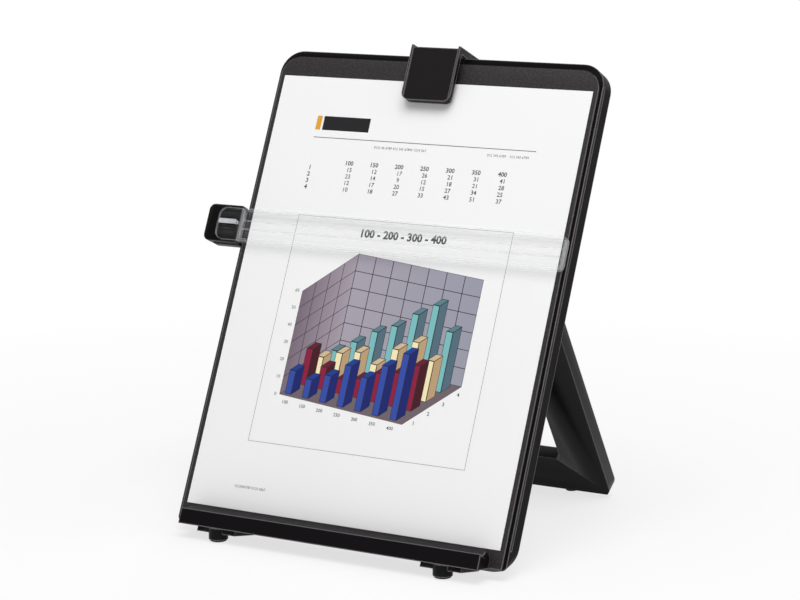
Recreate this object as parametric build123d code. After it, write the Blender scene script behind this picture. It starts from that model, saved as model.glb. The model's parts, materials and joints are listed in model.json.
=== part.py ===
"""Easel document holder: a tilted panel with a ledge, a clip, a line guide and a folding rear leg.

Every piece is drawn in the panel's own frame and stood up at the end.
Panel frame: x to the right, y into the back, z up along the panel.
Its origin is the middle of the document's bottom edge, on the panel's front face.
Lengths are in millimetres and angles in degrees.
"""
import os
from math import cos, radians, sin, tan

from build123d import *

# ---- stance ----
panel_tilt = 25.0               # lean of the panel back from upright
leg_open_angle = 59.0           # between the panel and the standing leg
floor_under_origin = 16.9       # height of the document's bottom edge above the floor

# ---- document ----
sheet_width = 215.9
sheet_height = 279.4
sheet_thickness = 0.3
sheet_gap = 0.05                # behind the sheet

# ---- panel ----
panel_width = 226.4
panel_top = 296.8
panel_bottom = -11.3
panel_depth = 13.5
panel_face_thickness = 2.6
panel_corner_radius = 15.0
panel_front_foot_radius = 2.5   # lower corners of the front rim
pocket_corner_radius = 13.0
side_bevel = 2.2
top_bevel = 4.3
bevel_depth = 1.8
side_wall = 4.2
end_wall = 2.9
rib_thickness = 1.6
upright_ribs = 5
cross_ribs = 6
cutter_reach = 450.0            # cutting shapes that pass right through are this long

# ---- guide grooves in the panel's sides ----
groove_bottom = 1.0
groove_top_inset = 13.8         # below the panel's top
groove_mouth_depth = 1.0        # in from the side, the narrow part
groove_depth = 2.7              # in from the side, the whole groove
groove_front = 2.0              # behind the front face
groove_mouth_width = 2.2
groove_width = 3.6
groove_clearance = 0.3

# ---- rear cover ----
cover_thickness = 2.2
cover_edge_gap = 0.3
cover_screw_inset = 11.0         # in from the panel's side walls
cover_screw_end = 19.0          # from the panel's top and bottom
boss_radius = 3.6
screw_core_radius = 1.3
screw_clearance_radius = 1.6
screw_head_radius = 2.9
screw_head_height = 1.5
screw_bite = 5.5

# ---- ledge ----
ledge_inset = 10.6              # from the panel's sides
ledge_reach = 13.0              # in front of the panel's face
ledge_back_top = -0.1
ledge_lip_top = -5.2
ledge_lip_width = 1.8
ledge_lip_rise = 0.9
ledge_front_bottom = -14.9
ledge_back_bottom = -11.3
ledge_wall = 2.1
ledge_end_radius = 7.0
ledge_screw_pitch = 78.0
ledge_screw_height = -6.0

# ---- feet ----
foot_inset = 25.4               # from the ledge's ends
foot_pad_y = -4.0               # front pad, in front of the face
foot_rear_pad_y = 10.2
foot_base_width = 27.0
foot_base_front = -9.0
foot_base_back = 13.2
foot_base_front_height = 3.5
foot_base_back_height = 0.9
foot_boss_radius = 5.9
foot_boss_rise = 9.0            # its top above the floor, inside the base
foot_pad_radius = 5.2
foot_pad_thickness = 2.2
foot_rear_pad_radius = 2.6
foot_rear_pad_floor = 0.5       # of the base left over the rear pad
pad_recess = 1.0

# ---- leg ----
leg_width = 180.0
leg_thickness = 9.7
leg_rail = 29.0
leg_top_bar = 26.0
leg_corner_radius = 10.5
leg_window_radius = 3.5
leg_wall = 2.4
leg_back_gap = 0.4              # folded leg to rear cover
leg_bottom_slant = 18.0
leg_pivot_height = 171.9        # along the panel, from the document's bottom edge
leg_pad_inset = 31.0            # from the leg's sides
leg_pad_radius = 3.8
leg_pad_proud = 1.5
leg_pad_recess = 2.0
leg_rib_pitch = 30.0

# ---- leg hinges ----
hinge_inset = 28.0              # from the leg's sides
hinge_ear_width = 20.0
hinge_side_gap = 0.4
hinge_hood_width = 36.0
hinge_ear_radius = 4.4
hinge_pin_radius = 2.0
hinge_pin_length = 34.0
hinge_pin_clearance = 0.06
hinge_notch_depth = 11.0
hinge_plate_thickness = 3.5
hinge_plate_low = 5.6           # above the pivot
hinge_plate_high = 21.0
hinge_stop_gap = 0.3
hinge_hood_thickness = 3.2
hinge_hood_reach = 8.0
hinge_screw_offset = 11.5
hinge_screw_rise = 16.2

# ---- clip ----
clip_half_width = 17.0
clip_cheek = 1.3
clip_front = 7.4                # cheeks' front edge, in front of the panel's face
clip_plate_front = 7.0
clip_plate_thickness = 2.4
clip_drop = 31.2                # below the panel's top
clip_plate_rise = 3.3           # above the panel's top
clip_ear_rise = 4.7             # of the cheeks' front corners
clip_back_rise = 6.2            # of the cheeks' back corners
clip_cheek_depth = 3.6
clip_corner_radius = 5.0
clip_lip_height = 6.2
clip_lip_back = 1.7
clip_pad_height = 4.4
clip_pad_gap = 0.3
clip_pivot_y = 7.75
clip_pivot_rise = 2.8           # above the panel's top
clip_cheek_lift = 0.7           # cheeks clear the panel's top by this
clip_underside_rise = 1.4       # of the cheeks behind the pivot, so that the clip can open
clip_back = 19.4
clip_lever_tip_y = 27.0
clip_lever_tip_drop = 18.0
clip_lever_thickness = 2.0
clip_pin_radius = 1.2
clip_pin_clearance = 0.06
clip_pin_cover = 0.4            # of the cheek left over the pin's end
clip_knuckle_radius = 2.2
clip_knuckle_inner = 6.2
clip_base_half_width = 15.2
clip_base_front = 1.0
clip_base_back = 13.2
clip_base_thickness = 1.1
clip_base_screw_x = 10.4
clip_base_screw_y = 3.6
spring_wire_radius = 0.35
spring_coil_radius = 1.75
spring_turns = 6

# ---- line guide and its slider ----
guide_bottom = 166.9
guide_height = 21.0
guide_front = 6.5               # in front of the panel's face
guide_wall = 1.5
guide_sheet_gap = 0.6
guide_right_inset = 0.5         # from the panel's side
guide_slider_gap = 0.1
guide_tongue_length = 15.5      # over the slider
guide_corner_radius = 3.5
guide_left_radius = 5.5
guide_rib_fractions = (0.36, 0.62)
guide_rib_width = 0.8
guide_rib_depth = 1.1
slider_width = 24.7
slider_gap = 0.3                # to the panel's side
slider_front = 5.0
slider_split = 0.9              # behind the face, where cap and back meet
slider_back = 6.5
slider_low_overhang = 1.1       # past the guide, below
slider_high_overhang = 1.9      # past the guide, above
slider_corner_radius = 4.0
slider_back_inset = 2.2
slider_back_drop = 0.6
slider_screw_inset = 12.5       # from the slider's outer side
slider_screw_bite = 3.6
tab_inset = 10.4                # from the slider's outer side
tab_length = 12.8
tab_height = 3.0
tab_thickness = 0.7
tab_rise = 10.2                 # above the guide's bottom edge
tab_ring_radius = 1.2
tab_ring_hole_radius = 0.55
tab_ring_drop = 0.5             # below the middle of the tab
leaf_spring_thickness = 0.3
leaf_spring_length = 17.0
leaf_spring_width = 1.4
leaf_spring_front = 4.45        # behind the panel's front face
leaf_spring_seat = 0.9          # depth of its recess in the slider
leaf_spring_gap = 0.03

# ---- values worked out from the ones above ----
half_width = panel_width / 2
panel_height = panel_top - panel_bottom
pocket_half_width = half_width - side_wall
groove_top = panel_top - groove_top_inset
cover_front = panel_depth - cover_thickness
cover_screw_x = pocket_half_width - cover_screw_inset
cover_screw_rows = (panel_bottom + cover_screw_end, panel_bottom + panel_height / 2,
                    panel_top - cover_screw_end)
ledge_length = panel_width - 2 * ledge_inset
foot_x = ledge_length / 2 - foot_inset
hinge_x = leg_width / 2 - hinge_inset
leg_pad_x = leg_width / 2 - leg_pad_inset
sheet_front = sheet_gap + sheet_thickness
leg_pivot_y = panel_depth + leg_back_gap + leg_thickness / 2
leg_lean = leg_open_angle - panel_tilt
guide_top = guide_bottom + guide_height
guide_middle = guide_bottom + guide_height / 2
guide_right = half_width - guide_right_inset
slider_right = -half_width - slider_gap
slider_left = slider_right - slider_width
slider_low = guide_bottom - slider_low_overhang
slider_high = guide_top + slider_high_overhang
slider_screw_x = slider_left + slider_screw_inset
guide_left_wall = slider_right + guide_slider_gap + guide_wall
guide_left = slider_right - guide_tongue_length
tab_left = slider_left + tab_inset
clip_bottom = panel_top - clip_drop
clip_plate_top = panel_top + clip_plate_rise
clip_ear_top = panel_top + clip_ear_rise
clip_back_top = panel_top + clip_back_rise
clip_pivot_z = panel_top + clip_pivot_rise


def floor_z(y):
    """Height along the panel at which the floor lies, at depth y."""
    return (-floor_under_origin + y * sin(radians(panel_tilt))) / cos(radians(panel_tilt))


def leg_length():
    """Pivot to the leg's front bottom edge, so that the leg's pads reach the floor."""
    tilt = radians(panel_tilt)
    height = leg_pivot_height * cos(tilt) - leg_pivot_y * sin(tilt) + floor_under_origin
    lean = radians(leg_lean)
    front_edge_drop = leg_thickness / 2 * sin(lean)
    return (height - leg_pad_proud - front_edge_drop) / cos(lean)


# ---- drawing helpers ----
def block(x0, x1, y0, y1, z0, z1):
    """A box from its lowest to its highest corner."""
    return Pos((x0 + x1) / 2, (y0 + y1) / 2, (z0 + z1) / 2) * Box(x1 - x0, y1 - y0, z1 - z0)


def side_profile(points, x0, x1):
    """A prism along x from an outline of (y, z) points."""
    outline = make_face(Polyline(*[(x0, y, z) for y, z in points], close=True))
    return extrude(outline, amount=x1 - x0, dir=(1, 0, 0))


def rounded_face(x0, x1, z0, z1, radii, y):
    """A rounded rectangle facing the reader; radii start at the lower left and go anticlockwise."""
    corners = [(x0, y, z0), (x1, y, z0), (x1, y, z1), (x0, y, z1)]
    return make_face(FilletPolyline(*corners, radius=radii, close=True))


def rounded_plate(x0, x1, z0, z1, radii, y0, y1):
    """A rounded rectangle from depth y0 to depth y1."""
    return extrude(rounded_face(x0, x1, z0, z1, radii, y0), amount=y1 - y0, dir=(0, 1, 0))


def rod_x(radius, x0, x1, y, z):
    return Pos((x0 + x1) / 2, y, z) * Rot(0, 90, 0) * Cylinder(radius, x1 - x0)


def rod_y(radius, x, y0, y1, z):
    return Pos(x, (y0 + y1) / 2, z) * Rot(90, 0, 0) * Cylinder(radius, y1 - y0)


def rod_z(radius, x, y, z0, z1):
    return Pos(x, y, (z0 + z1) / 2) * Cylinder(radius, z1 - z0)


def screw_from_behind(x, z, head_face, tip):
    """A pan-head screw driven towards the front, with a crossed recess in its head."""
    head = rod_y(screw_head_radius, x, head_face - screw_head_height, head_face, z)
    head = chamfer(head.edges().group_by(Axis.Y)[-1], 0.4)
    shank = rod_y(screw_core_radius, x, tip, head_face - screw_head_height, z)
    slot = block(x - 1.7, x + 1.7, head_face - 0.8, head_face, z - 0.3, z + 0.3)
    cross = block(x - 0.3, x + 0.3, head_face - 0.8, head_face, z - 1.7, z + 1.7)
    return head + shank - slot - cross


# ---- panel ----
def groove_cut(side):
    """L-shaped guide groove in one side wall; side is -1 for left and 1 for right."""
    edge = side * half_width
    mouth_in = edge - side * groove_mouth_depth
    whole_in = edge - side * groove_depth
    mouth = block(min(edge + side, mouth_in), max(edge + side, mouth_in), groove_front,
                  groove_front + groove_mouth_width, groove_bottom, groove_top)
    deep = block(min(mouth_in, whole_in), max(mouth_in, whole_in), groove_front,
                 groove_front + groove_width, groove_bottom, groove_top)
    return mouth + deep


def cover_screw_places():
    return [(side * cover_screw_x, z) for z in cover_screw_rows for side in (-1, 1)]


def hinge_screw_places():
    z = leg_pivot_height + hinge_screw_rise
    return [(side * hinge_x + end * hinge_screw_offset, z) for side in (-1, 1) for end in (-1, 1)]


def ledge_screw_places():
    return [(k * ledge_screw_pitch, ledge_screw_height) for k in (-1, 0, 1)]


def make_front_panel():
    top, bottom, round_top = panel_top, panel_bottom, panel_corner_radius
    face_radius = round_top - side_bevel
    low = panel_front_foot_radius
    face = rounded_face(-half_width + side_bevel, half_width - side_bevel, bottom, top - top_bevel,
                        [low / 2, low / 2, face_radius, face_radius], 0)
    rim = rounded_face(-half_width, half_width, bottom, top, [low, low, round_top, round_top],
                       bevel_depth)
    back = rounded_face(-half_width, half_width, bottom, top, [round_top] * 4, panel_depth)
    shell = loft([face, rim], ruled=True) + loft([rim, back], ruled=True)
    pocket = rounded_plate(-pocket_half_width, pocket_half_width, bottom + end_wall, top - end_wall,
                           [pocket_corner_radius] * 4, panel_face_thickness, panel_depth + 1)
    shell -= pocket
    shell -= groove_cut(-1)
    shell -= groove_cut(1)
    shell += panel_ribs()
    for x, z in cover_screw_places() + hinge_screw_places():
        shell += rod_y(boss_radius, x, panel_face_thickness - 0.5, cover_front, z)
        shell -= rod_y(screw_core_radius, x, cover_front - screw_bite, cover_front, z)
    for x, z in ledge_screw_places():
        shell -= rod_y(screw_clearance_radius, x, -1, panel_depth, z)
        shell -= rod_y(screw_head_radius + 0.3, x, panel_face_thickness, panel_depth, z)
    for side in (-1, 1):
        shell -= rod_z(screw_core_radius * 0.7, side * clip_base_screw_x, clip_base_screw_y,
                       top - end_wall - 1, top)
    return shell


def panel_ribs():
    """Stiffening ribs behind the face, up to the rear cover."""
    front, half = panel_face_thickness - 0.2, rib_thickness / 2
    low = panel_bottom + end_wall - 0.5
    high = panel_top - end_wall + 0.5
    side = pocket_half_width + 0.5
    across = 2 * pocket_half_width / upright_ribs
    along = panel_height / cross_ribs
    ribs = []
    for k in range(upright_ribs):
        x = (k + 0.5) * across - pocket_half_width
        ribs.append(block(x - half, x + half, front, cover_front, low, high))
    for k in range(cross_ribs):
        z = (k + 0.5) * along + panel_bottom
        ribs.append(block(-side, side, front, cover_front, z - half, z + half))
    return ribs


def make_rear_cover():
    edge = pocket_half_width - cover_edge_gap
    low = panel_bottom + end_wall + cover_edge_gap
    high = panel_top - end_wall - cover_edge_gap
    radius = pocket_corner_radius - cover_edge_gap
    cover = rounded_plate(-edge, edge, low, high, [radius] * 4, cover_front, panel_depth)
    cover = chamfer(cover.edges().group_by(Axis.Y)[-1], 0.5)
    for x, z in cover_screw_places():
        cover -= rod_y(screw_clearance_radius, x, cover_front - 1, panel_depth + 1, z)
        cover -= rod_y(screw_head_radius + 0.2, x, panel_depth - screw_head_height, panel_depth + 1, z)
    for x, z in hinge_screw_places():
        cover -= rod_y(screw_clearance_radius, x, cover_front - 1, panel_depth + 1, z)
    return cover


def make_cover_screws():
    tip = cover_front - screw_bite + 0.3
    return [screw_from_behind(x, z, panel_depth, tip) for x, z in cover_screw_places()]


# ---- ledge and feet ----
def ledge_section():
    """Side outline of the ledge."""
    lip = -ledge_reach + ledge_lip_width
    return [(0.0, ledge_back_top), (lip + 0.4, ledge_lip_top - ledge_lip_rise), (lip, ledge_lip_top),
            (-ledge_reach, ledge_lip_top), (-ledge_reach, ledge_front_bottom),
            (0.0, ledge_back_bottom)]


def make_document_ledge():
    half = ledge_length / 2
    body = side_profile(ledge_section(), -half, half)
    ends = rounded_plate(-half, half, ledge_front_bottom - 1, ledge_back_top,
                         [0.8, 0.8, ledge_end_radius, ledge_end_radius], -ledge_reach - 1, 0)
    body = body & ends
    core = [(0.0, ledge_back_top - ledge_wall),
            (-ledge_reach + ledge_wall + ledge_lip_width, ledge_lip_top - ledge_lip_rise - ledge_wall),
            (-ledge_reach + ledge_wall, ledge_lip_top - ledge_lip_rise - ledge_wall),
            (-ledge_reach + ledge_wall, ledge_front_bottom + ledge_wall),
            (0.0, ledge_back_bottom + ledge_wall)]
    boss_half = boss_radius + 0.8
    stops = [-half + ledge_end_radius]
    for x, _ in ledge_screw_places():
        stops += [x - boss_half, x + boss_half]
    stops.append(half - ledge_end_radius)
    for start, end in zip(stops[::2], stops[1::2]):
        body -= side_profile(core, start, end)
    for x, z in ledge_screw_places():
        body -= rod_y(screw_core_radius, x, -screw_bite - 1, 0, z)
    return body


def make_ledge_screws():
    head_face = panel_face_thickness + screw_head_height
    return [screw_from_behind(x, z, head_face, -screw_bite) for x, z in ledge_screw_places()]


def foot_underside(y):
    """The ledge's and the panel's underside above a foot."""
    if y >= 0:
        return panel_bottom
    slope = (ledge_front_bottom - ledge_back_bottom) / ledge_reach
    return ledge_back_bottom - y * slope


def foot_axis_end(y, rise):
    """A point rise above the floor, straight over the pad whose centre stands at depth y."""
    tilt = radians(panel_tilt)
    return (y - rise * sin(tilt), floor_z(y) + rise * cos(tilt))


def upright_rod(radius, x, y, low, high):
    """A rod that is upright when the holder stands, from low to high above the floor."""
    y_low, z_low = foot_axis_end(y, (low + high) / 2)
    return Pos(x, y_low, z_low) * Rot(panel_tilt, 0, 0) * Cylinder(radius, high - low)


def make_foot_block(side):
    x = side * foot_x
    half = foot_base_width / 2
    outline = [(foot_base_front, foot_underside(foot_base_front)),
               (0.0, foot_underside(0.0)),
               (foot_base_back, foot_underside(foot_base_back)),
               (foot_base_back, foot_underside(foot_base_back) - foot_base_back_height),
               (foot_base_front, foot_underside(foot_base_front) - foot_base_front_height)]
    base = side_profile(outline, x - half, x + half)
    boss = upright_rod(foot_boss_radius, x, foot_pad_y, foot_pad_thickness - pad_recess,
                        foot_boss_rise)
    keep = side_profile([(-ledge_reach, foot_underside(-ledge_reach)), (0.0, foot_underside(0.0)),
                         (panel_depth, foot_underside(panel_depth)), (panel_depth, -cutter_reach),
                         (-ledge_reach, -cutter_reach)], x - half, x + half)
    foot = base + (boss & keep)
    foot -= upright_rod(foot_pad_radius, x, foot_pad_y, 0, foot_pad_thickness)
    foot -= make_rear_foot_pad(side)
    return foot


def make_rubber_foot(side):
    pad = upright_rod(foot_pad_radius, side * foot_x, foot_pad_y, 0, foot_pad_thickness)
    return fillet(pad.edges().sort_by(Axis.Z)[0], 0.7)


def make_rear_foot_pad(side):
    """A small stud let into the back of the base, level with the floor underneath."""
    x, y = side * foot_x, foot_rear_pad_y
    pad = upright_rod(foot_rear_pad_radius, x, y, 0, foot_boss_rise)
    high, half = foot_underside(y) - foot_rear_pad_floor, foot_base_width / 2
    return pad - block(x - half, x + half, y - half, y + half, high, high + half)


# ---- leg, drawn about its pivot and hanging straight down ----
def place_leg(shape, angle=leg_open_angle):
    return Pos(0, leg_pivot_y, leg_pivot_height) * Rot(angle, 0, 0) * shape


def leg_bottom_cut():
    """Takes the leg's end off on a slant, so that its front edge is its lowest when it is folded."""
    length = leg_length()
    half = leg_thickness / 2
    drop = leg_thickness * tan(radians(leg_bottom_slant))
    low = -length - cutter_reach
    points = [(-half - 1, -length + 1 / tan(radians(90 - leg_bottom_slant))), (half, -length - drop),
              (half, low), (-half - 1, low)]
    return side_profile(points, -leg_width, leg_width)


def make_leg_frame():
    half, thick = leg_width / 2, leg_thickness / 2
    length = leg_length()
    drop = leg_thickness * tan(radians(leg_bottom_slant))
    radius = leg_corner_radius
    frame = rounded_plate(-half, half, -length - drop, 0, [radius, radius, 0.8, 0.8], -thick, thick)
    frame += rod_x(thick, -half, half, 0, 0)
    window = (-half + leg_rail, half - leg_rail, -length + leg_rail, -leg_top_bar)
    frame -= rounded_plate(*window, [leg_window_radius] * 4, -thick - 1, thick + 1)
    frame -= leg_back_pocket(window)
    frame -= leg_bottom_cut()
    for side in (-1, 1):
        x = side * hinge_x
        reach = hinge_ear_width / 2 + hinge_side_gap
        frame -= block(x - reach, x + reach, -thick - 1, thick + 1, -hinge_notch_depth, thick + 1)
        frame -= rod_x(hinge_pin_radius + hinge_pin_clearance, x - hinge_pin_length / 2 - 0.3,
                       x + hinge_pin_length / 2 + 0.3, 0, 0)
        frame -= rod_z(leg_pad_radius, side * leg_pad_x, leg_pad_y(), -length - drop - 1,
                       -length + leg_pad_recess)
    return frame


def leg_pad_y():
    return -leg_thickness / 2 + leg_pad_radius + 0.6


def leg_back_pocket(window):
    """Hollow behind the rails and the crossbar, with ribs left across it."""
    half, thick, length = leg_width / 2, leg_thickness / 2, leg_length()
    x_in, _, z_low, z_high = -window[0], window[1], window[2], window[3]
    front = -thick + leg_wall
    cuts = []
    for side in (-1, 1):
        outer, inner = side * (half - leg_wall), side * (x_in + leg_wall)
        z = z_low + leg_wall
        while z < z_high - leg_wall:
            top = min(z + leg_rib_pitch - rib_thickness, z_high - leg_wall)
            if top - z > 4:
                cuts.append(block(min(outer, inner), max(outer, inner), front, thick + 1, z, top))
            z += leg_rib_pitch
    low = -length + leg_wall
    x = -half + leg_corner_radius
    while x < half - leg_corner_radius:
        end = min(x + leg_rib_pitch - rib_thickness, half - leg_corner_radius)
        pad_near = any(abs((x + end) / 2 - side * leg_pad_x) < leg_rib_pitch / 2 for side in (-1, 1))
        bottom = low + (leg_pad_recess + leg_wall if pad_near else 0)
        cuts.append(block(x, end, front, thick + 1, bottom, z_low - leg_wall))
        x += leg_rib_pitch
    return cuts


def make_leg_pad(side):
    """Rubber plug in the leg's end; its tip is cut level with the floor that the leg stands on."""
    low, high = -leg_length() - leg_thickness, -leg_length() + leg_pad_recess
    plug = place_leg(rod_z(leg_pad_radius, side * leg_pad_x, leg_pad_y(), low, high))
    ground = block(-leg_pad_inset, leg_pad_inset, -cutter_reach, cutter_reach,
                   -floor_under_origin - cutter_reach, -floor_under_origin)
    return plug - Pos(side * leg_pad_x, 0, 0) * Rot(panel_tilt, 0, 0) * ground


# ---- leg hinges ----
def make_hinge_bracket(side):
    x = side * hinge_x
    wide = hinge_hood_width / 2
    narrow = hinge_ear_width / 2
    back = panel_depth - leg_pivot_y
    angle = radians(leg_open_angle)
    rear_y, rear_z = cos(angle), sin(angle)
    down_y, down_z = sin(angle), -cos(angle)
    stop = leg_thickness / 2 + hinge_stop_gap
    top = stop + hinge_hood_thickness

    def on_hood(along, out):
        return (out * rear_y + along * down_y, out * rear_z + along * down_z)

    start = -hinge_hood_reach + 2
    hood = [(back, hinge_plate_low), on_hood(start, stop), on_hood(hinge_hood_reach, stop),
            on_hood(hinge_hood_reach, top), on_hood(start, top),
            (back + hinge_plate_thickness, hinge_plate_low + 6), (back + hinge_plate_thickness,
                                                                  hinge_plate_high),
            (back, hinge_plate_high)]
    bracket = side_profile(hood, x - wide, x + wide)
    ear = side_profile([(back, -hinge_ear_radius - 3), (0, -hinge_ear_radius),
                        (0, hinge_ear_radius), (back, hinge_plate_low + 1)], x - narrow, x + narrow)
    ear += rod_x(hinge_ear_radius, x - narrow, x + narrow, 0, 0)
    bracket += ear
    bracket -= rod_x(hinge_pin_radius + hinge_pin_clearance / 3, x - wide, x + wide, 0, 0)
    bracket = Pos(0, leg_pivot_y, leg_pivot_height) * bracket
    for screw_x, z in hinge_screw_places():
        if screw_x * side > 0:
            face = panel_depth + hinge_plate_thickness
            bracket -= rod_y(screw_clearance_radius, screw_x, panel_depth - 1, face + 1, z)
            bracket -= rod_y(screw_head_radius + 0.2, screw_x, face - screw_head_height, face + 9, z)
    return bracket


def make_hinge_pin(side):
    x = side * hinge_x
    pin = rod_x(hinge_pin_radius, x - hinge_pin_length / 2, x + hinge_pin_length / 2, 0, 0)
    pin = chamfer(pin.edges().filter_by(GeomType.CIRCLE), 0.3)
    return Pos(0, leg_pivot_y, leg_pivot_height) * pin


def make_hinge_screws():
    face = panel_depth + hinge_plate_thickness
    tip = cover_front - screw_bite + 0.3
    return [screw_from_behind(x, z, face, tip) for x, z in hinge_screw_places()]


# ---- clip ----
def make_clip_jaw():
    cheek_low = panel_top + clip_cheek_lift
    underside = cheek_low + clip_underside_rise
    lever_root_y = clip_back - 1.6
    lever_tip_z = cheek_low - clip_lever_tip_drop
    cheek_outline = [(-clip_front, clip_bottom), (-clip_front, clip_ear_top),
                     (clip_back, clip_back_top), (clip_lever_tip_y, lever_tip_z + 1),
                     (clip_lever_tip_y - clip_lever_thickness, lever_tip_z),
                     (lever_root_y, underside), (clip_pivot_y + 5.0, underside + 0.4),
                     (clip_pivot_y, cheek_low), (-clip_front + clip_cheek_depth, cheek_low),
                     (-clip_front + clip_cheek_depth, clip_bottom)]
    inside = clip_half_width - clip_cheek
    jaw = side_profile(cheek_outline, -clip_half_width, -inside)
    jaw += side_profile(cheek_outline, inside, clip_half_width)
    plate_back = -clip_plate_front + clip_plate_thickness
    jaw += block(-inside, inside, -clip_plate_front, plate_back, clip_bottom, clip_plate_top)
    jaw += block(-inside, inside, plate_back, -clip_lip_back, clip_bottom, clip_bottom + clip_lip_height)
    lever = [(lever_root_y, underside), (lever_root_y + clip_lever_thickness, underside),
             (clip_lever_tip_y, lever_tip_z + 1), (clip_lever_tip_y - clip_lever_thickness, lever_tip_z)]
    jaw += side_profile(lever, -inside, inside)
    radius = clip_corner_radius
    front_view = rounded_plate(-clip_half_width, clip_half_width, clip_bottom, clip_ear_top + 1,
                               [radius, radius, 0.3, 0.3], -clip_front - 1, 0)
    behind = block(-clip_half_width, clip_half_width, 0, clip_lever_tip_y + 1, lever_tip_z - 1,
                   clip_back_top + 1)
    jaw = jaw & (front_view + behind)
    bore = clip_half_width - clip_pin_cover
    jaw -= rod_x(clip_pin_radius + clip_pin_clearance, -bore, bore, clip_pivot_y, clip_pivot_z)
    return jaw


def make_clip_pad():
    inside = clip_half_width - clip_cheek - 2.4
    low = clip_bottom + 0.9
    return block(-inside, inside, -clip_lip_back, -sheet_front - clip_pad_gap, low, low + clip_pad_height)


def make_clip_base():
    half = clip_base_half_width
    base = block(-half, half, clip_base_front, clip_base_back, panel_top, panel_top + clip_base_thickness)
    for side in (-1, 1):
        ends = sorted((side * clip_knuckle_inner, side * half))
        base += rod_x(clip_knuckle_radius, *ends, clip_pivot_y, clip_pivot_z)
        base += block(*ends, clip_pivot_y - clip_knuckle_radius, clip_pivot_y + clip_knuckle_radius,
                      panel_top, clip_pivot_z)
        base -= rod_z(screw_clearance_radius * 0.7, side * clip_base_screw_x, clip_base_screw_y,
                      panel_top - 1, panel_top + 4)
    base -= rod_x(clip_pin_radius + clip_pin_clearance / 3, -half, half, clip_pivot_y, clip_pivot_z)
    reach = spring_coil_radius + spring_wire_radius + 0.4
    base -= block(-clip_knuckle_inner, clip_knuckle_inner, clip_pivot_y - reach, clip_pivot_y + reach,
                  panel_top - 1, panel_top + 9)
    return base


def make_clip_base_screws():
    screws = []
    for side in (-1, 1):
        x, y = side * clip_base_screw_x, clip_base_screw_y
        top = panel_top + clip_base_thickness
        head = rod_z(1.7, x, y, top, top + 1.0)
        shank = rod_z(screw_core_radius * 0.68, x, y, panel_top - end_wall, top)
        slot = block(x - 1.1, x + 1.1, y - 0.25, y + 0.25, top + 0.5, top + 1.0)
        screws.append(head + shank - slot)
    return screws


def make_clip_pivot_pin():
    half = clip_half_width - clip_pin_cover - 0.1
    return rod_x(clip_pin_radius, -half, half, clip_pivot_y, clip_pivot_z)


def make_clip_spring():
    """One unbroken winding round the pivot pin, between the knuckles."""
    room = 2 * clip_knuckle_inner - 1.2
    pitch = (room - 2 * spring_wire_radius) / spring_turns
    coil = Helix(pitch=pitch, height=pitch * spring_turns, radius=spring_coil_radius)
    wire = Plane(coil @ 0, z_dir=coil % 0) * Circle(spring_wire_radius)
    spring = sweep(wire, path=coil)
    print(f"clip spring: least gap between turns {pitch - 2 * spring_wire_radius:.2f} mm")
    return Pos(-pitch * spring_turns / 2, clip_pivot_y, clip_pivot_z) * Rot(0, 90, 0) * spring


# ---- line guide ----
def make_line_guide():
    low, high = guide_bottom, guide_top
    radius = guide_corner_radius
    back = -guide_sheet_gap - sheet_gap - sheet_thickness
    body = rounded_plate(guide_left_wall - guide_wall, guide_right, low, high, [0.4, radius, radius, 0.4],
                         -guide_front, back)
    hollow = rounded_plate(guide_left_wall, guide_right - guide_wall, low + guide_wall,
                           high - guide_wall, [0.2, radius - guide_wall, radius - guide_wall, 0.2],
                           -guide_front + guide_wall, back + 1)
    body -= hollow
    for fraction in guide_rib_fractions:
        z = high - fraction * guide_height
        body += block(guide_left_wall - 0.2, guide_right - guide_wall + 0.2,
                      -guide_front + guide_wall - 0.1, -guide_front + guide_wall + guide_rib_depth,
                      z - guide_rib_width / 2, z + guide_rib_width / 2)
    tongue = rounded_plate(guide_left, guide_left_wall - guide_wall / 2, low, high,
                           [guide_left_radius, 0.2, 0.2, guide_left_radius], -guide_front,
                           -guide_front + guide_wall)
    return body + tongue


def make_guide_tab():
    """A raised bar on the guide's tongue with a small ring at its inner end."""
    low, right = guide_bottom + tab_rise, tab_left + tab_length
    front = -guide_front - tab_thickness
    bar = rounded_plate(tab_left, right, low, low + tab_height, [0.4] * 4, front, -guide_front)
    ring = right + tab_ring_radius / 2, low + tab_height / 2 - tab_ring_drop
    bar += rod_y(tab_ring_radius, ring[0], front + 0.2, -guide_front, ring[1])
    return bar - rod_y(tab_ring_hole_radius, ring[0], front - 1, -guide_front, ring[1])


def make_slider_cap():
    radius = slider_corner_radius
    cap = rounded_plate(slider_left, slider_right, slider_low, slider_high, [radius, 0.5, 0.5, radius],
                        -slider_front, slider_split)
    cap = chamfer(cap.edges().group_by(Axis.Y)[0], 0.5)
    cap -= rod_y(screw_core_radius, slider_screw_x, slider_split - slider_screw_bite - 0.3,
                 slider_split + 1, guide_middle)
    return cap


def tongue_outline():
    """The hooked tongue that runs in the panel's left groove, from above, as (x, y) points."""
    gap = groove_clearance
    reach = -half_width + groove_depth - gap
    neck = -half_width + groove_mouth_depth + gap
    front = groove_front + gap
    neck_back = groove_front + groove_mouth_width - gap
    hook_back = groove_front + groove_width - gap
    return [(slider_right - 1, front), (reach, front), (reach, hook_back), (neck, hook_back),
            (neck, neck_back), (slider_right - 1, neck_back)]


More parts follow.
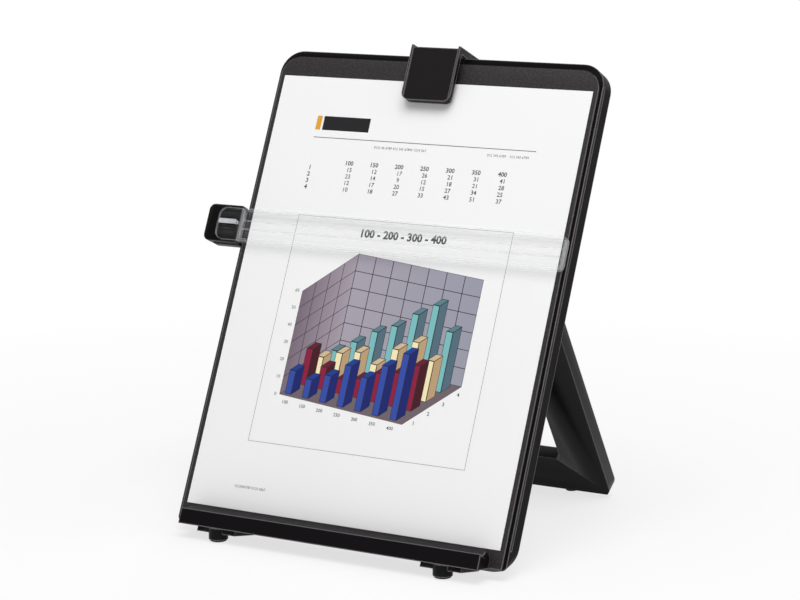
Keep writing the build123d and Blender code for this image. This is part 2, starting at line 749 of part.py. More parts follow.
def make_slider_back():
    low, high = slider_low - slider_back_drop, slider_high - slider_back_drop
    radius = slider_corner_radius
    body = rounded_plate(slider_left + slider_back_inset, slider_right, low, high,
                         [radius, 0.5, 0.5, radius], slider_split, slider_back)
    body = chamfer(body.edges().group_by(Axis.Y)[-1], 0.5)
    hook = make_face(Polyline(*[(x, y, low + 1) for x, y in tongue_outline()], close=True))
    body += extrude(hook, amount=high - low - 2, dir=(0, 0, 1))
    body -= rod_y(screw_clearance_radius, slider_screw_x, slider_split - 1, slider_back + 1,
                  guide_middle)
    body -= rod_y(screw_head_radius + 0.2, slider_screw_x, slider_back - screw_head_height,
                  slider_back + 1, guide_middle)
    seat = leaf_spring_length / 2 + 0.4
    body -= block(slider_right - leaf_spring_seat, slider_right + 1, leaf_spring_front - 0.2,
                  leaf_spring_front + leaf_spring_width + 0.2, guide_middle - seat, guide_middle + seat)
    return body


def make_slider_leaf_spring():
    """A bowed strip seated in the slider, which presses on the panel's side to hold the guide up."""
    seat = slider_right - leaf_spring_seat
    touch = -half_width - leaf_spring_gap
    y = leaf_spring_front
    low, high = guide_middle - leaf_spring_length / 2, guide_middle + leaf_spring_length / 2
    outer_end = seat + leaf_spring_thickness
    outer = ThreePointArc((outer_end, y, low), (touch, y, guide_middle), (outer_end, y, high))
    inner = ThreePointArc((seat, y, low), (touch - leaf_spring_thickness, y, guide_middle),
                          (seat, y, high))
    ends = Line((outer_end, y, low), (seat, y, low)) + Line((outer_end, y, high), (seat, y, high))
    return extrude(make_face([outer, inner, *ends.edges()]), amount=leaf_spring_width, dir=(0, 1, 0))


def make_slider_screw():
    return screw_from_behind(slider_screw_x, guide_middle, slider_back,
                             slider_split - slider_screw_bite)


# ---- document ----
def make_document_sheet():
    return block(-sheet_width / 2, sheet_width / 2, -sheet_front, -sheet_gap, 0, sheet_height)


# ---- the whole holder ----
def make_pieces():
    pieces = {
        "front_panel": make_front_panel(),
        "rear_cover": make_rear_cover(),
        "cover_screws": make_cover_screws(),
        "document_ledge": make_document_ledge(),
        "ledge_screws": make_ledge_screws(),
        "hinge_screws": make_hinge_screws(),
        "clip_base": make_clip_base(),
        "clip_base_screws": make_clip_base_screws(),
        "clip_pivot_pin": make_clip_pivot_pin(),
        "clip_spring": make_clip_spring(),
        "clip_jaw": make_clip_jaw(),
        "clip_pad": make_clip_pad(),
        "leg_frame": place_leg(make_leg_frame()),
        "line_guide": make_line_guide(),
        "guide_tab": make_guide_tab(),
        "slider_cap": make_slider_cap(),
        "slider_back": make_slider_back(),
        "slider_screw": make_slider_screw(),
        "slider_leaf_spring": make_slider_leaf_spring(),
        "document_sheet": make_document_sheet(),
    }
    for name, side in (("left", -1), ("right", 1)):
        pieces["foot_block_" + name] = make_foot_block(side)
        pieces["rubber_foot_" + name] = make_rubber_foot(side)
        pieces["rear_foot_pad_" + name] = make_rear_foot_pad(side)
        pieces["leg_pad_" + name] = make_leg_pad(side)
        pieces["hinge_bracket_" + name] = make_hinge_bracket(side)
        pieces["hinge_pin_" + name] = make_hinge_pin(side)
    return pieces


def solids_of(shape):
    if isinstance(shape, list):
        return [solid for item in shape for solid in item.solids()]
    return shape.solids()


def stand_up(pieces):
    """Tilts the holder back and puts the middle of its footprint at the origin."""
    tilted = {name: [Rot(-panel_tilt, 0, 0) * solid for solid in solids_of(shape)]
              for name, shape in pieces.items()}
    box = Compound([solid for solids in tilted.values() for solid in solids]).bounding_box()
    shift = Pos(-(box.min.X + box.max.X) / 2, -(box.min.Y + box.max.Y) / 2, -box.min.Z)
    print(f"size {box.size.X:.2f} x {box.size.Y:.2f} x {box.size.Z:.2f} mm")
    print(f"shift {shift.position.X:.4f} {shift.position.Y:.4f} {shift.position.Z:.4f} mm")
    return {name: [shift * solid for solid in solids] for name, solids in tilted.items()}


def write_parts(pieces):
    os.makedirs("parts", exist_ok=True)
    for name, solids in pieces.items():
        shape = solids[0] if len(solids) == 1 else Compound(solids)
        export_step(shape, f"parts/{name}.step")


write_parts(stand_up(make_pieces()))
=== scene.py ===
# %% [markdown]
# # An easel for one sheet of paper
# A black panel leans back on a folding leg and carries a letter sheet on a ledge.
# A spring clip holds the sheet's top, and a clear bar slides down the page as a reading guide.
# The packed CAD model is the fixed frame of this scene. It says where every piece is, how large
# it is and what it moves with. Blender adds the finishes, the rounded edges and the print.

import json
from math import cos, radians, sin

import bpy
from mathutils import Matrix, Vector

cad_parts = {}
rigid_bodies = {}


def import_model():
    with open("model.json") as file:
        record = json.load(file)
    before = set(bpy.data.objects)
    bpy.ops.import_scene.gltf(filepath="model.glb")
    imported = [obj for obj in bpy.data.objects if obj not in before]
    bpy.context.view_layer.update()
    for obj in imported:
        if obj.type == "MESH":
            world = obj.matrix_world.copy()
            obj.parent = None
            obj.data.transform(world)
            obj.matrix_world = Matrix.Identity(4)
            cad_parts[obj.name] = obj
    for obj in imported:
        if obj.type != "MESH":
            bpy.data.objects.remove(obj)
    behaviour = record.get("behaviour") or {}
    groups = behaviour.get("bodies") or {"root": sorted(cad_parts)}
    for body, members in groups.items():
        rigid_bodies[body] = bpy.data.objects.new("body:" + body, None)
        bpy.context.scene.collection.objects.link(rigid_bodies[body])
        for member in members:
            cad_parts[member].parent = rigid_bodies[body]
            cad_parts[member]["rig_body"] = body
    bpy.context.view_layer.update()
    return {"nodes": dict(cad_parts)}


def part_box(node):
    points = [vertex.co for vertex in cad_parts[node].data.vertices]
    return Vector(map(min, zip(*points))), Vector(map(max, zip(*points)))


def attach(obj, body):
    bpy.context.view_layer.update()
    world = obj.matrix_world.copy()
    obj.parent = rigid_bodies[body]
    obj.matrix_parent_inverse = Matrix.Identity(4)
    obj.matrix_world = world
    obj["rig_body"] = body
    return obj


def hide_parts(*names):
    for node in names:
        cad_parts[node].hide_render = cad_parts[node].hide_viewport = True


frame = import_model()
mm = 0.001

# %% [markdown]
# ## The panel's own frame
# Almost everything here is square to the leaning panel and not to the desk. It is easier to model
# a piece upright, with x to the right and z up along the page, and to lean its mesh back at the
# end. The sheet's box tells where the middle of the page's bottom edge stands.

# %% Find the panel's frame
panel_tilt = radians(25)
sheet_gap = 0.05 * mm
sheet_thickness = 0.3 * mm
sheet_low, sheet_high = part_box("document_sheet")
page_foot = Vector((
    (sheet_low.x + sheet_high.x) / 2,
    sheet_low.y + (sheet_gap + sheet_thickness) * cos(panel_tilt),
    sheet_low.z - sheet_gap * sin(panel_tilt),
))
lean_back = Matrix.Translation(page_foot) @ Matrix.Rotation(-panel_tilt, 4, "X")
print("page foot:", [round(v, 4) for v in page_foot])

# %% [markdown]
# ## Camera
# The page's four corners in the photograph fix the camera: a long lens, a little above the desk
# and to the right of the object. The picture is 800 pixels wide, so a focal length in pixels
# turns into one in millimetres with the sensor's width.

# %% Set up the camera
image_width = 800
focal_pixels = 2436.4
camera_azimuth = radians(29.28)
camera_elevation = radians(10.55)
camera_from_page = Vector((716.3, -1202.4, 396.9)) * mm

bpy.ops.object.camera_add(location=page_foot + camera_from_page)
camera = bpy.context.object
camera.name = "camera"
camera.data.sensor_width = 36
camera.data.lens = focal_pixels * camera.data.sensor_width / image_width
line_of_sight = Vector((
    -sin(camera_azimuth) * cos(camera_elevation),
    cos(camera_azimuth) * cos(camera_elevation),
    -sin(camera_elevation),
))
camera.rotation_mode = "QUATERNION"
camera.rotation_quaternion = line_of_sight.to_track_quat("-Z", "Y")
camera.data.clip_start, camera.data.clip_end = 0.05, 50
bpy.context.scene.camera = camera
print("lens:", round(camera.data.lens, 1), "mm")

# %% [markdown]
# ## Writing a finish
# A finish is a small program of nodes. Plain arithmetic reads better than a list of Math nodes, so
# a Field wraps one socket and lets Python's operators add the nodes.

# %% Arithmetic on sockets
class Field:
    """One output socket of a finish, with arithmetic that adds Math nodes."""

    def __init__(self, finish, socket):
        self.finish = finish
        self.socket = socket

    def math(self, operation, *values):
        return self.finish.node("ShaderNodeMath", {"operation": operation},
                                dict(enumerate(values)))

    def __add__(self, other):
        return self.math("ADD", self, other)

    def __sub__(self, other):
        return self.math("SUBTRACT", self, other)

    def __rsub__(self, other):
        return self.math("SUBTRACT", other, self)

    def __mul__(self, other):
        return self.math("MULTIPLY", self, other)

    def __truediv__(self, other):
        return self.math("DIVIDE", self, other)

    def __gt__(self, other):
        return self.math("GREATER_THAN", self, other)

    def __lt__(self, other):
        return self.math("LESS_THAN", self, other)

    def __abs__(self):
        return self.math("ABSOLUTE", self)

    __radd__ = __add__
    __rmul__ = __mul__

    def least(self, *others):
        result = self
        for other in others:
            result = self.math("MINIMUM", result, other)
        return result

    def most(self, other):
        return self.math("MAXIMUM", self, other)

    def floor(self):
        return self.math("FLOOR", self)

    def between(self, low, high):
        """How far inside the span from low to high; negative outside it."""
        return (self - low).least(high - self)


print("operators ready:", sum(name.startswith("__") for name in vars(Field)))

# %% [markdown]
# ## A finish and its nodes
# A Finish holds one material around a Principled shader. Its node method makes every other kind of
# node, and short methods on top of it give what most finishes need: noise, a colour between two
# colours, a rounded normal, a bump, and a mask of the edges.

# %% One material
class Finish:
    """One material, built around a Principled shader."""

    def __init__(self, name, color, roughness, **constants):
        self.material = bpy.data.materials.new(name)
        self.material.use_nodes = True
        self.tree = self.material.node_tree
        self.shader = self.tree.nodes["Principled BSDF"]
        self.shader.inputs["Base Color"].default_value = (*color, 1)
        self.shader.inputs["Roughness"].default_value = roughness
        for socket, value in constants.items():
            self.shader.inputs[socket.replace("_", " ")].default_value = value

    def node(self, kind, settings=None, inputs=None, output=0):
        node = self.tree.nodes.new(kind)
        for key, value in (settings or {}).items():
            if key == "stops":
                self.set_stops(node.color_ramp, value)
            elif key == "interpolation":
                node.color_ramp.interpolation = value
            else:
                setattr(node, key, value)
        for key, value in (inputs or {}).items():
            if isinstance(value, Field):
                self.tree.links.new(value.socket, node.inputs[key])
            else:
                node.inputs[key].default_value = value
        return Field(self, node.outputs[output])

    def set_stops(self, ramp, stops):
        while len(ramp.elements) < len(stops):
            ramp.elements.new(0.5)
        for element, (position, color) in zip(ramp.elements, stops):
            element.position = position
            element.color = (*color, 1)

    def feed(self, socket, field):
        self.tree.links.new(field.socket, self.shader.inputs[socket])

    def mix(self, factor, first, second):
        """A colour between two colours."""
        return self.node("ShaderNodeMix", {"data_type": "RGBA"},
                         {0: factor, 6: self.opaque(first), 7: self.opaque(second)}, output=2)

    @staticmethod
    def opaque(color):
        return color if isinstance(color, Field) else (*color[:3], 1)

    def place(self):
        """Where a point is on the upright object, in metres."""
        return self.node("ShaderNodeTexCoord", output="Object")

    def noise(self, scale, detail=2.0, roughness=0.5, vector=None):
        return self.node("ShaderNodeTexNoise", None,
                         {"Vector": vector or self.place(), "Scale": scale, "Detail": detail,
                          "Roughness": roughness})

    def span(self, field, low, high):
        """Turns 0..1 into low..high."""
        return field * (high - low) + low

    def rounded(self, radius, samples=4):
        """The normal with sharp edges softened to a radius, as moulded plastic has."""
        return self.node("ShaderNodeBevel", {"samples": samples}, {"Radius": radius})

    def dot(self, first, second):
        return self.node("ShaderNodeVectorMath", {"operation": "DOT_PRODUCT"},
                         {0: first, 1: second}, output="Value")

    def edge_share(self, radius):
        """1 on an edge, 0 away from it: there the rounded normal leaves the flat one."""
        flat = self.node("ShaderNodeNewGeometry", output="Normal")
        return self.within_one((1 - self.dot(self.rounded(radius, 8), flat)) * 90 - 0.7)

    @staticmethod
    def within_one(field):
        """A number cut off below 0 and above 1."""
        return field.least(1.0).most(0.0)

    def bump(self, height, strength, distance, normal=None):
        inputs = {"Height": height, "Strength": strength, "Distance": distance}
        if normal:
            inputs["Normal"] = normal
        self.feed("Normal", self.node("ShaderNodeBump", None, inputs))


def shade(red, green, blue):
    """A colour as a screen shows it, 0 to 255, in the linear numbers that shaders use."""
    return tuple(((v / 255 + 0.055) / 1.055) ** 2.4 if v > 10 else v / 255 / 12.92
                 for v in (red, green, blue))


print("white paper in linear light:", round(shade(246, 246, 246)[0], 3))

# %% [markdown]
# ## Moulded black plastic
# All black pieces are injection moulded. The panel's face comes from a spark-eroded mould and has
# a fine matt grain, while the ledge, the slider and the clip are smoother. No moulding has truly
# sharp edges, so the normal is rounded there, and handling leaves the surface a little uneven in
# gloss. Edges catch the light, so a painted highlight, a paler grey, is laid along them where the
# rounded normal leaves the flat one. One function writes all the blacks, and its arguments say how
# fine and how deep the grain is. The panel's bevelled rim is smooth and nearly black.

# %% Black plastics
# Painted highlight: the paler grey laid along the edges of every black piece, and how far it
# reaches.
painted_highlight_grey = shade(122, 118, 120)
highlight_reach = 3                      # pale edge's width over the rounding's radius


def black_plastic(name, color, gloss, grain_size, grain_depth, shine=0.2, edge=0.35 * mm,
                  painted_highlight_share=0.8, speckle=1.5):
    finish = Finish(name, color, gloss, Specular_IOR_Level=shine)
    grain = finish.noise(1 / grain_size, detail=3.0, roughness=0.6)
    cloud = finish.noise(22.0, detail=3.0)
    handling = finish.noise(90.0, detail=4.0, roughness=0.7)
    tone = finish.mix(finish.span(cloud, 0.1, 0.9), color, [v * 1.4 for v in color])
    specks = finish.within_one((grain - 0.42) * 4)
    grained = finish.mix(specks, tone, [v * speckle for v in color])
    # Along the edges the base colour turns to the paler grey: a painted highlight.
    finish.feed("Base Color", finish.mix(finish.edge_share(edge * highlight_reach) * painted_highlight_share, grained,
                                         painted_highlight_grey))
    finish.feed("Roughness", finish.span(handling, gloss - 0.07, gloss + 0.09))
    finish.bump(grain, 0.6, grain_depth, normal=finish.rounded(edge))
    return finish.material


panel_black = black_plastic("panel_matt_black", shade(22, 19, 21), 0.5, 0.9 * mm, 0.12 * mm, 0.26,
                            speckle=3.8)
rim_black = black_plastic("rim_smooth_black", shade(6, 5, 6), 0.45, 0.8 * mm, 0.01 * mm, 0.03)
cover_black = black_plastic("cover_matt_black", shade(24, 22, 23), 0.6, 0.9 * mm, 0.1 * mm, 0.15,
                            speckle=3.0)
ledge_black = black_plastic("ledge_satin_black", shade(13, 11, 13), 0.4, 0.7 * mm, 0.015 * mm, 0.04)
foot_black = black_plastic("foot_satin_black", shade(10, 9, 10), 0.4, 0.7 * mm, 0.02 * mm, 0.1)
leg_black = black_plastic("leg_satin_black", shade(16, 14, 15), 0.42, 0.6 * mm, 0.03 * mm, 0.2,
                          painted_highlight_share=0.4)
clip_black = black_plastic("clip_semi_gloss_black", shade(13, 10, 12), 0.36, 0.8 * mm, 0.015 * mm,
                           0.12)
slider_black = black_plastic("slider_semi_gloss_black", shade(5, 4, 5), 0.34, 0.8 * mm, 0.012 * mm,
                             0.06, painted_highlight_share=0.35)
print("black plastics:", 8)

# %% [markdown]
# ## Rubber and steel
# Rubber is darker and duller than the plastic, with a coarse, soft grain and pale dust in it.
# The screws and pins are plated steel, and the springs are drawn wire with fine lines.

# %% Rubber and steel
def rubber_finish():
    finish = Finish("foot_rubber", shade(26, 26, 26), 0.8, Specular_IOR_Level=0.35)
    grain = finish.noise(1400.0, detail=4.0, roughness=0.7)
    dust = finish.noise(160.0, detail=5.0, roughness=0.75)
    finish.feed("Base Color", finish.mix(finish.span(dust, -0.6, 0.9), shade(22, 22, 22),
                                         shade(58, 56, 54)))
    finish.feed("Roughness", finish.span(dust, 0.7, 0.95))
    finish.bump(grain, 0.6, 0.08 * mm, normal=finish.rounded(0.3 * mm))
    return finish.material


def steel_finish(name, color, roughness, line_scale):
    finish = Finish(name, color, roughness, Metallic=1.0)
    place = finish.node("ShaderNodeMapping", None,
                        {"Vector": finish.place(), "Scale": (line_scale, 300, 300)})
    lines = finish.noise(1.0, detail=3.0, vector=place)
    spots = finish.noise(700.0, detail=3.0)
    finish.feed("Base Color", finish.mix(finish.span(spots, 0.0, 0.5), color,
                                         [v * 0.6 for v in color]))
    finish.feed("Roughness", finish.span(lines, roughness - 0.08, roughness + 0.12))
    finish.bump(lines, 0.3, 0.01 * mm, normal=finish.rounded(0.12 * mm))
    return finish.material


rubber = rubber_finish()
plated_steel = steel_finish("plated_steel", (0.55, 0.56, 0.58), 0.3, 3000)
spring_wire = steel_finish("drawn_spring_wire", (0.62, 0.62, 0.64), 0.24, 9000)
print("rubber and steel ready")

# %% [markdown]
# ## Clear acrylic
# The guide is a clear moulding. Real refraction needs many light paths and turns the page under
# the bar dark, so the bar is a mostly see-through surface that keeps its gloss. Light is caught
# in its flanges and in the fine draw lines along it, so the see-through share falls there. A
# lean of the normal towards up, down or sideways tells a flange from the flat plate.

# %% Clear acrylic
def clear_finish():
    finish = Finish("clear_acrylic", shade(238, 240, 242), 0.1, Specular_IOR_Level=0.6)
    normal = finish.node("ShaderNodeNewGeometry", output="True Normal")
    flange = 1 - abs(finish.dot(normal, (0, -cos(panel_tilt), sin(panel_tilt))))
    edge = finish.edge_share(0.4 * mm)
    stretched = finish.node("ShaderNodeMapping", None,
                            {"Vector": finish.place(), "Scale": (2, 1500, 1500)})
    streaks = finish.noise(1.0, detail=1.0, vector=stretched)
    haze = finish.noise(60.0, detail=3.0)
    scuffs = finish.noise(900.0, detail=4.0, roughness=0.7)
    # Where the see-through share falls, at flanges, edges and draw lines, the pale base colour
    # shows as a painted highlight.
    finish.feed("Alpha", flange * 0.24 + edge * 0.3 + (streaks > 0.6) * 0.04
                + finish.span(haze, 0.004, 0.016))
    finish.feed("Roughness", finish.span(scuffs, 0.06, 0.2))
    finish.bump(haze, 0.1, 0.05 * mm, normal=finish.rounded(0.3 * mm))
    return finish.material


def tab_finish():
    finish = Finish("pale_tab", shade(190, 194, 198), 0.3)
    cloud = finish.noise(500.0, detail=3.0)
    finish.feed("Base Color", finish.mix(cloud, shade(176, 180, 184), shade(214, 216, 218)))
    finish.feed("Roughness", finish.span(cloud, 0.22, 0.4))
    finish.bump(cloud, 0.3, 0.02 * mm, normal=finish.rounded(0.25 * mm))
    return finish.material


clear_acrylic = clear_finish()
pale_tab = tab_finish()
print("clear finishes ready")

# %% [markdown]
# ## The printed page
# The page is office paper with a report printed on it: a heading block, a rule, a thin frame and
# a bar chart drawn in depth. The print is made of masks on the page's own x and z, in millimetres.
# A mask asks how far inside a shape a point is, so the same number gives the fill and the outline.
# The chart's bars stand in rows of seven, so one row is one cell of pattern that repeats, and a
# ramp in steps gives each column its height.

# %% Layout of the print, in millimetres on the page
page_width, page_height = 215.9, 279.4
chart_foot = (-60.0, 74.0)          # the floor's near left corner
chart_along = (88.0, -9.0)          # along the columns
chart_back = (34.0, 27.0)           # towards the back wall
chart_height = 66.0
chart_columns, chart_rows, chart_levels = 7, 4, 6
grid_width = 0.02                   # of one step of the grid
row_start = 0.18                    # share of a row's depth left free before its bars
bar_width = 4.6                     # of the lit face
bar_depth = 0.62                    # share of a row's depth
bar_start = 0.16                    # share of a column left free before a bar
bar_outline = 0.3
row_heights = (
    (15, 12, 17, 26, 21, 31, 41),
    (23, 14, 9, 12, 18, 21, 28),
    (12, 17, 20, 15, 27, 34, 25),
    (10, 18, 27, 33, 43, 51, 37),
)
row_colors = (
    (shade(52, 78, 168), shade(22, 34, 108), shade(28, 62, 150)),
    (shade(142, 26, 62), shade(66, 14, 28), shade(104, 22, 46)),
    (shade(250, 236, 190), shade(190, 160, 122), shade(214, 190, 150)),
    (shade(126, 192, 194), shade(84, 110, 124), shade(92, 130, 140)),
)
ink = shade(34, 34, 38)
frame_box = (-74.8, 75.2, 43.0, 188.6)
frame_line = 0.35
rule_line = (-76.8, 78.8, 239.4, 239.9)
emblem_dark = (-72.0, -38.5, 244.6, 253.8)
emblem_ochre = (-77.0, -73.4, 244.6, 253.8)
print("bars on the page:", chart_columns * chart_rows)

# %% [markdown]
# ## Masks
# The page's UV map gives every point its x and z on the page. From these a mask is a few lines of
# arithmetic.

# %% Masks of the print
def inside(x, z, box):
    """How far inside a box a point is; negative outside."""
    return x.between(box[0], box[1]).least(z.between(box[2], box[3]))


def page_place(finish):
    """The page's x and z in millimetres, from the page's UV map."""
    uv = finish.node("ShaderNodeUVMap", {"uv_map": "page"})
    u = finish.node("ShaderNodeSeparateXYZ", None, {0: uv}, output="X")
    v = finish.node("ShaderNodeSeparateXYZ", None, {0: uv}, output="Y")
    return u * page_width - page_width / 2, v * page_height


def grid_lines(along, steps, width):
    """A mask of thin lines at each whole step, and how wide they are in steps."""
    part = along * steps
    return abs(part - (part + 0.5).floor()) < width


print("a point inside a box is where its mask is above 0")

# %% [markdown]
# ## The chart's floor and walls
# The chart is drawn in depth on a slant. A point of the page is written in steps along the floor,
# or across and up a wall, and it is on that face where both steps are between 0 and 1.

# %% Floor and walls of the chart
def chart_walls(finish, page, x, z):
    """Floor, left wall and back wall with their grid."""
    foot_x, foot_z = chart_foot
    along_x, along_z = chart_along
    back_x, back_z = chart_back
    p, q = x - foot_x, z - foot_z
    area = back_z * along_x - back_x * along_z
    deep = (q * along_x - p * along_z) / area
    across = (p - deep * back_x) / along_x
    floor = deep.between(0.0, 1.0).least(across.between(0.0, 1.0))
    page = finish.mix(floor > 0, page, shade(112, 100, 106))

    left_deep = p / back_x
    left_up = q - left_deep * back_z
    left = left_deep.between(0.0, 1.0).least(left_up.between(0.0, chart_height) / chart_height)
    left_tone = finish.mix(left_deep, shade(122, 106, 120), shade(168, 158, 170))
    left_grid = grid_lines(left_up / chart_height, chart_levels, grid_width).most(
        grid_lines(left_deep, chart_rows, grid_width))
    page = finish.mix(left > 0, page, finish.mix(left_grid, left_tone, ink))

    rear_across = (p - back_x) / along_x
    rear_up = q - back_z - rear_across * along_z
    rear = rear_across.between(0.0, 1.0).least(rear_up.between(0.0, chart_height) / chart_height)
    rear_tone = finish.mix(rear_across, shade(170, 164, 176), shade(156, 156, 172))
    rear_grid = grid_lines(rear_up / chart_height, chart_levels, grid_width).most(
        grid_lines(rear_across, chart_columns, grid_width))
    return finish.mix(rear > 0, page, finish.mix(rear_grid, rear_tone, ink))


print("the chart's walls are", chart_height, "mm high")

# %% [markdown]
# ## A row of bars
# A row's bars stand one column apart, so the whole row is one bar whose height a ramp in steps
# looks up. Each bar has a lit face, a dark side and a top, and rows are painted from the back.

# %% Rows of bars
def bar_row(finish, page, x, z, row):
    """One row of bars, each with a lit face, a dark side and a top."""
    pitch_x, pitch_z = chart_along[0] / chart_columns, chart_along[1] / chart_columns
    share = (row + row_start) / chart_rows
    p = x - (chart_foot[0] + chart_back[0] * share) - bar_start * pitch_x
    q = z - (chart_foot[1] + chart_back[1] * share) - bar_start * pitch_z
    column = (p / pitch_x).floor()
    a = p - column * pitch_x
    v = q - p * (pitch_z / pitch_x)
    top = max(row_heights[row])
    stops = [(k / chart_columns, [h / top] * 3) for k, h in enumerate(row_heights[row])]
    height = finish.node("ShaderNodeValToRGB", {"stops": stops, "interpolation": "CONSTANT"},
                         {0: (column + 0.5) / chart_columns}) * top
    valid = column.between(-0.5, chart_columns - 0.5)
    side_x = chart_back[0] / chart_rows * bar_depth
    side_z = chart_back[1] / chart_rows * bar_depth - side_x * pitch_z / pitch_x
    face = a.between(0.0, bar_width).least(v.between(0.0, height), valid)
    along = (a - bar_width) / side_x
    beside = along.between(0.0, 1.0) * side_x
    side = beside.least((v - along * side_z).between(0.0, height), valid)
    back = (v - height) / side_z
    above = back.between(0.0, 1.0) * side_z
    lid = above.least((a - back * side_x).between(0.0, bar_width), valid)
    for shape, color in zip((side, lid, face), (1, 2, 0)):
        page = finish.mix(shape > 0, page, ink)
        page = finish.mix(shape > bar_outline, page, row_colors[row][color])
    return page


print("tallest bar in each row:", [max(heights) for heights in row_heights], "mm")

# %% [markdown]
# ## Paper and ink
# The layers go on in the order of printing: paper, frame, rule, heading block, walls, bars. The
# paper has a fine tooth of fibres, and ink is a little smoother than paper.

# %% Paper and ink
def paper_finish():
    finish = Finish("printed_paper", shade(246, 246, 246), 0.75, Specular_IOR_Level=0.25)
    x, z = page_place(finish)
    fibres = finish.noise(1800.0, detail=5.0, roughness=0.65)
    cloud = finish.noise(14.0, detail=2.0)
    page = finish.mix(finish.span(cloud, 0.1, 0.9), shade(247, 247, 248), shade(251, 251, 250))
    outer = inside(x, z, frame_box)
    page = finish.mix((outer > 0) - (outer > frame_line), page, shade(150, 150, 156))
    page = finish.mix(inside(x, z, rule_line) > 0, page, shade(96, 96, 104))
    page = finish.mix(inside(x, z, emblem_dark) > 0, page, shade(24, 24, 26))
    page = finish.mix(inside(x, z, emblem_ochre) > 0, page, shade(226, 166, 60))
    page = chart_walls(finish, page, x, z)
    for row in reversed(range(chart_rows)):
        page = bar_row(finish, page, x, z, row)
    finish.feed("Base Color", page)
    finish.feed("Roughness", finish.span(fibres, 0.68, 0.85))
    finish.bump(fibres, 0.2, 0.02 * mm)
    return finish.material


def ink_finish():
    finish = Finish("printing_ink", ink, 0.5)
    wear = finish.noise(2500.0, detail=3.0)
    finish.feed("Base Color", finish.mix(wear * 0.5, ink, shade(70, 70, 76)))
    finish.feed("Roughness", finish.span(wear, 0.45, 0.65))
    return finish.material


printed_paper = paper_finish()
printing_ink = ink_finish()
print("nodes in the page's finish:", len(printed_paper.node_tree.nodes))

# %% [markdown]
# ## Dressing the CAD pieces
# A packed node is loose triangles with hard shading. Its mesh must stay as it is, so each piece
# gets a copy whose vertices are merged, whose flat faces are joined and whose round faces shade
# smoothly. The copy stands for the node and rides on the same body. The finishes round its edges.

# %% A helper that dresses one node
def only(piece):
    """Selects one piece and makes it active."""
    bpy.ops.object.select_all(action="DESELECT")
    piece.select_set(True)
    bpy.context.view_layer.objects.active = piece


def body_holding(node):
    return frame["nodes"][node]["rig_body"]


def dress(node, material, smooth=32):
    cad = frame["nodes"][node]
    piece = bpy.data.objects.new(node + "_finished", cad.data.copy())
    bpy.context.scene.collection.objects.link(piece)
    only(piece)
    bpy.ops.object.mode_set(mode="EDIT")
    bpy.ops.mesh.select_all(action="SELECT")
    bpy.ops.mesh.remove_doubles(threshold=0.002 * mm)
    bpy.ops.mesh.dissolve_limited(angle_limit=radians(0.5))
    bpy.ops.object.mode_set(mode="OBJECT")
    bpy.ops.object.shade_smooth_by_angle(angle=radians(smooth))
    piece.data.materials.clear()
    piece.data.materials.append(material)
    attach(piece, body_holding(node))
    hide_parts(node)
    return piece


print("nodes to dress:", len(frame["nodes"]))

# %% [markdown]
# ## Black mouldings
# The panel has two finishes: the grained face, and the smooth rim round it. A face of the mesh
# belongs to the rim where its normal leaves the panel's front.

# %% Dress the black mouldings
panel = dress("front_panel", panel_black, smooth=20)
panel.data.materials.append(rim_black)
panel_front = Vector((0, -cos(panel_tilt), sin(panel_tilt)))
for face in panel.data.polygons:
    if face.normal.dot(panel_front) < 0.99:
        face.material_index = 1
dress("rear_cover", cover_black)
dress("document_ledge", ledge_black)
dress("leg_frame", leg_black)
dress("clip_jaw", clip_black)
dress("clip_base", clip_black)
dress("slider_cap", slider_black)
dress("slider_back", slider_black)
for side in ("left", "right"):
    dress("foot_block_" + side, foot_black)
    dress("hinge_bracket_" + side, foot_black)
print("rim faces:", sum(face.material_index for face in panel.data.polygons))

# %% [markdown]
# ## Small pieces
# Rubber, steel and clear pieces have one finish each, so a short list of nodes is enough.

# %% Dress rubber, steel and clear pieces
for side in ("left", "right"):
    dress("rubber_foot_" + side, rubber)
    dress("rear_foot_pad_" + side, rubber)
    dress("leg_pad_" + side, rubber)
    dress("hinge_pin_" + side, plated_steel)
dress("clip_pad", rubber)
for node in ("cover_screws", "ledge_screws", "hinge_screws", "clip_base_screws",
             "clip_pivot_pin", "slider_screw"):
    dress(node, plated_steel)
dress("clip_spring", spring_wire)
dress("slider_leaf_spring", spring_wire)
dress("line_guide", clear_acrylic)
dress("guide_tab", pale_tab)

# %% [markdown]
# ## The sheet of paper
# A sheet is a plane with a thickness. It gets its own UV map, so that the print stays on it when
# the sheet is pulled out, and its faces are divided evenly.

# %% Model the sheet
def unwrap_flat(piece):
    """Lays the page's x and z over the whole UV square."""
    layer = piece.data.uv_layers.new(name="page")
    for loop in piece.data.loops:
        co = piece.data.vertices[loop.vertex_index].co
        layer.data[loop.index].uv = (co.x / mm / page_width + 0.5, co.z / mm / page_height)


def model_sheet():
    paper, cuts = 0.22 * mm, 12
    bpy.ops.object.select_all(action="DESELECT")
    bpy.ops.mesh.primitive_plane_add(size=1, location=(0, -sheet_gap, page_height * mm / 2),
                                     rotation=(radians(90), 0, 0))
    sheet = bpy.context.object
    sheet.name = "paper_sheet"
    sheet.scale = (page_width * mm, page_height * mm, 1)
    bpy.ops.object.transform_apply(location=True, rotation=True, scale=True)
    bpy.ops.object.mode_set(mode="EDIT")
    bpy.ops.mesh.select_all(action="SELECT")
    bpy.ops.mesh.subdivide(number_cuts=cuts)
    bpy.ops.mesh.extrude_region_move(TRANSFORM_OT_translate={"value": (0, -paper, 0)})
    bpy.ops.mesh.select_all(action="SELECT")
    bpy.ops.mesh.normals_make_consistent(inside=False)
    bpy.ops.object.mode_set(mode="OBJECT")
    unwrap_flat(sheet)
    sheet.data.materials.append(printed_paper)
    sheet.data.transform(lean_back)
    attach(sheet, "document")
    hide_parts("document_sheet")
    return sheet


